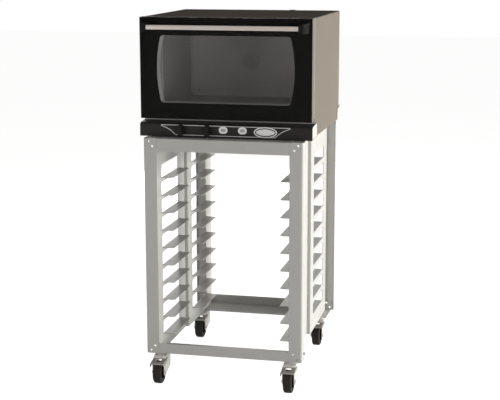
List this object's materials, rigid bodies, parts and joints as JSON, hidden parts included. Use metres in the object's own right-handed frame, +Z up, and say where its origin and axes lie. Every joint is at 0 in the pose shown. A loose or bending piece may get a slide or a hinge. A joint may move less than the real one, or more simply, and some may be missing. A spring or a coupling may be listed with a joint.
{
  "type": "convection oven",
  "caption": "Half-size convection oven with a drop-down glass door, standing on a rolling tray stand with folded-out runners",
  "frame": {"origin": "on the floor under the middle of the overall bounding box", "axes": "X is the width, to the viewer's right. Y is the depth, away from the viewer. Z is up."},
  "size_m": [0.606, 0.729, 1.288],
  "materials": {
    "stainless": "fine brushed stainless sheet",
    "galvanised": "plain zinc-coated sheet",
    "liner_steel": "dark, heat-stained sheet",
    "mineral_wool": "pressed mineral-wool blanket",
    "fan_aluminium": "pressed aluminium",
    "motor_paint": "satin paint",
    "heater_steel": "oxidised heater sheath",
    "gasket_rubber": "matt silicone",
    "foot_rubber": "matt rubber",
    "black_enamel": "smooth black enamel",
    "cheek_paint": "satin light finish",
    "silver_trim": "bright silver line",
    "unit_plastic": "moulded",
    "knob_plastic": "moulded, slight sheen",
    "white_plastic": "moulded",
    "grey_plastic": "moulded",
    "black_rubber": "matt rubber",
    "zinc_steel": "zinc-plated steel",
    "reveal_steel": "bright sheet",
    "tinted_glass": "dark tinted toughened glass",
    "clear_glass": "clear heat-resistant glass",
    "handle_steel": "brushed tube",
    "stand_aluminium": "satin bare aluminium sheet",
    "pedal_steel": "dark zinc-plated pressing",
    "tyre": "matt black tread",
    "hub_plastic": "moulded"
  },
  "bodies": {
    "base": {"cabinet_shell": "stainless", "cabinet_back": "galvanised", "cabinet_base": "galvanised", "front_frame": "stainless", "cavity_liner": "liner_steel", "insulation": "mineral_wool", "air_baffle": "liner_steel", "fan_motor": "motor_paint", "heating_element": "heater_steel", "door_gasket": "gasket_rubber", "steam_vent": "liner_steel", "oven_feet": "foot_rubber", "control_fascia": "black_enamel", "housing_cheeks": "cheek_paint", "panel_trim": "silver_trim", "oval_plate": "silver_trim", "control_units": "unit_plastic", "button_bezels": "white_plastic", "service_box": "galvanised", "inlet_bush": "black_rubber", "hinge_ears": "zinc_steel", "side_frame_left": "stand_aluminium", "side_frame_right": "stand_aluminium", "rail_top_front": "stand_aluminium", "rail_top_rear": "stand_aluminium", "rail_low_front": "stand_aluminium", "rail_low_rear": "stand_aluminium", "caster_mounts": "stand_aluminium"},
    "door": {"door_frame": "reveal_steel", "door_glass_outer": "tinted_glass", "door_border": "black_enamel", "door_glass_inner": "clear_glass", "door_inner_panel": "liner_steel", "hinge_pins": "zinc_steel", "handle_bar": "handle_steel", "handle_brackets": "knob_plastic"},
    "timer": {"knob_timer": "knob_plastic"},
    "temperature": {"knob_temperature": "knob_plastic"},
    "button_l": {"button_left": "grey_plastic"},
    "button_r": {"button_right": "grey_plastic"},
    "fan": {"fan_wheel": "fan_aluminium"},
    "swivel_front_left": {"fork_front_left": "zinc_steel"},
    "wheel_front_left": {"tyre_front_left": "tyre", "hub_front_left": "hub_plastic"},
    "brake_front_left": {"pedal_front_left": "pedal_steel"},
    "swivel_front_right": {"fork_front_right": "zinc_steel"},
    "wheel_front_right": {"tyre_front_right": "tyre", "hub_front_right": "hub_plastic"},
    "brake_front_right": {"pedal_front_right": "pedal_steel"},
    "swivel_rear_left": {"fork_rear_left": "zinc_steel"},
    "wheel_rear_left": {"tyre_rear_left": "tyre", "hub_rear_left": "hub_plastic"},
    "brake_rear_left": {"pedal_rear_left": "pedal_steel"},
    "swivel_rear_right": {"fork_rear_right": "zinc_steel"},
    "wheel_rear_right": {"tyre_rear_right": "tyre", "hub_rear_right": "hub_plastic"},
    "brake_rear_right": {"pedal_rear_right": "pedal_steel"}
  },
  "joints": [
    {"name": "door_hinge", "type": "hinge", "parent": "base", "child": "door", "pos_m": [0, -0.2625, 0.953], "axis": [1, 0, 0], "range_deg": [0, 90]},
    {"name": "timer_turn", "type": "hinge", "parent": "base", "child": "timer", "pos_m": [-0.156, -0.2825, 0.903], "axis": [0, 1, 0], "range_deg": [0, 300]},
    {"name": "temperature_turn", "type": "hinge", "parent": "base", "child": "temperature", "pos_m": [-0.062, -0.2825, 0.903], "axis": [0, 1, 0], "range_deg": [0, 270]},
    {"name": "button_left_press", "type": "slide", "parent": "base", "child": "button_l", "axis": [0, 1, 0], "range_m": [0, 0.002], "stiffness_N_per_m": 400, "springref_m": -0.002},
    {"name": "button_right_press", "type": "slide", "parent": "base", "child": "button_r", "axis": [0, 1, 0], "range_m": [0, 0.002], "stiffness_N_per_m": 400, "springref_m": -0.002},
    {"name": "fan_spin", "type": "hinge", "parent": "base", "child": "fan", "pos_m": [0, 0.169, 1.107], "axis": [0, 1, 0], "continuous": true},
    {"name": "swivel_turn_front_left", "type": "hinge", "parent": "base", "child": "swivel_front_left", "pos_m": [-0.234, -0.2925, 0.098], "axis": [0, 0, 1], "continuous": true},
    {"name": "swivel_turn_front_right", "type": "hinge", "parent": "base", "child": "swivel_front_right", "pos_m": [0.234, -0.2925, 0.098], "axis": [0, 0, 1], "continuous": true},
    {"name": "swivel_turn_rear_left", "type": "hinge", "parent": "base", "child": "swivel_rear_left", "pos_m": [-0.234, 0.2705, 0.098], "axis": [0, 0, 1], "continuous": true},
    {"name": "swivel_turn_rear_right", "type": "hinge", "parent": "base", "child": "swivel_rear_right", "pos_m": [0.234, 0.2705, 0.098], "axis": [0, 0, 1], "continuous": true},
    {"name": "wheel_roll_front_left", "type": "hinge", "parent": "swivel_front_left", "child": "wheel_front_left", "pos_m": [-0.234, -0.3245, 0.04], "axis": [1, 0, 0], "continuous": true},
    {"name": "wheel_roll_front_right", "type": "hinge", "parent": "swivel_front_right", "child": "wheel_front_right", "pos_m": [0.234, -0.3245, 0.04], "axis": [1, 0, 0], "continuous": true},
    {"name": "wheel_roll_rear_left", "type": "hinge", "parent": "swivel_rear_left", "child": "wheel_rear_left", "pos_m": [-0.234, 0.2385, 0.04], "axis": [1, 0, 0], "continuous": true},
    {"name": "wheel_roll_rear_right", "type": "hinge", "parent": "swivel_rear_right", "child": "wheel_rear_right", "pos_m": [0.234, 0.2385, 0.04], "axis": [1, 0, 0], "continuous": true},
    {"name": "brake_press_front_left", "type": "hinge", "parent": "swivel_front_left", "child": "brake_front_left", "pos_m": [-0.234, -0.306, 0.083], "axis": [1, 0, 0], "range_deg": [0, 4]},
    {"name": "brake_press_front_right", "type": "hinge", "parent": "swivel_front_right", "child": "brake_front_right", "pos_m": [0.234, -0.306, 0.083], "axis": [1, 0, 0], "range_deg": [0, 4]},
    {"name": "brake_press_rear_left", "type": "hinge", "parent": "swivel_rear_left", "child": "brake_rear_left", "pos_m": [-0.234, 0.257, 0.083], "axis": [1, 0, 0], "range_deg": [0, 4]},
    {"name": "brake_press_rear_right", "type": "hinge", "parent": "swivel_rear_right", "child": "brake_rear_right", "pos_m": [0.234, 0.257, 0.083], "axis": [1, 0, 0], "range_deg": [0, 4]}
  ]
}
